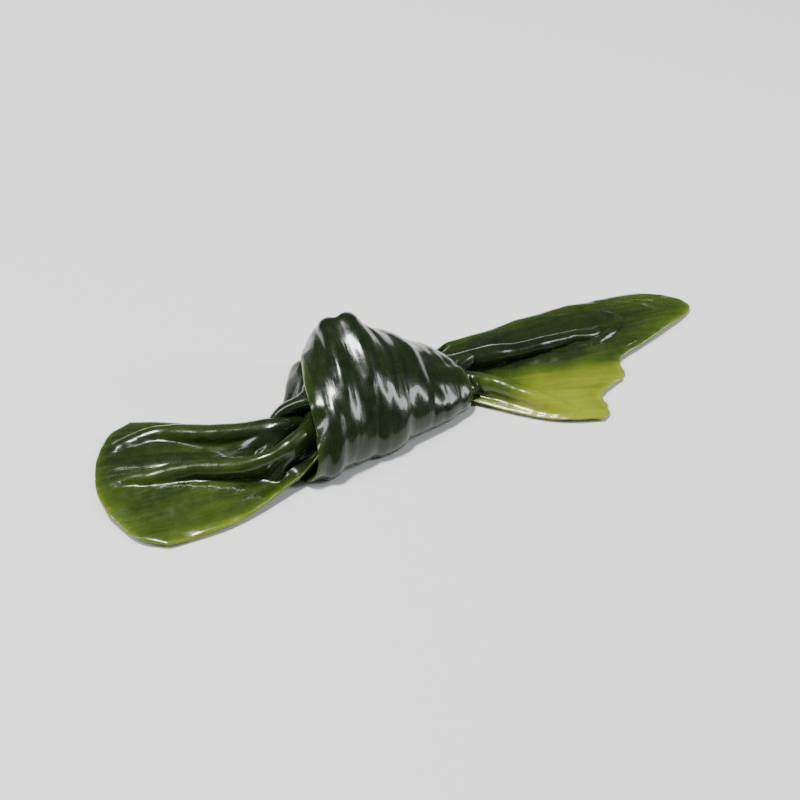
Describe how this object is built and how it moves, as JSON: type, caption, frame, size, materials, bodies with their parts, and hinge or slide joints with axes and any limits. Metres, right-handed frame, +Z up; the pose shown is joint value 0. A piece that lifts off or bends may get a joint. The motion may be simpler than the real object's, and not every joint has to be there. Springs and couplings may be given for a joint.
{
  "type": "salted kelp knot",
  "caption": "Ribbon of wet dark green kelp tied in a loose overhand knot, with one broad rounded tail and one long tail with a stepped slanting end.",
  "frame": {"origin": "centre of the bounding box's underside, on the surface that the knot lies on", "axes": "+X along the knot towards the tip of the long right tail, +Y away from the picture's viewer, +Z up"},
  "size_m": [0.1265, 0.0812, 0.0207],
  "materials": {
    "wet_kelp": "wet gloss, very dark green where layers pile up, yellow green where one layer lies alone"
  },
  "bodies": {
    "root": {"kelp_strip": "wet_kelp"}
  },
  "joints": []
}
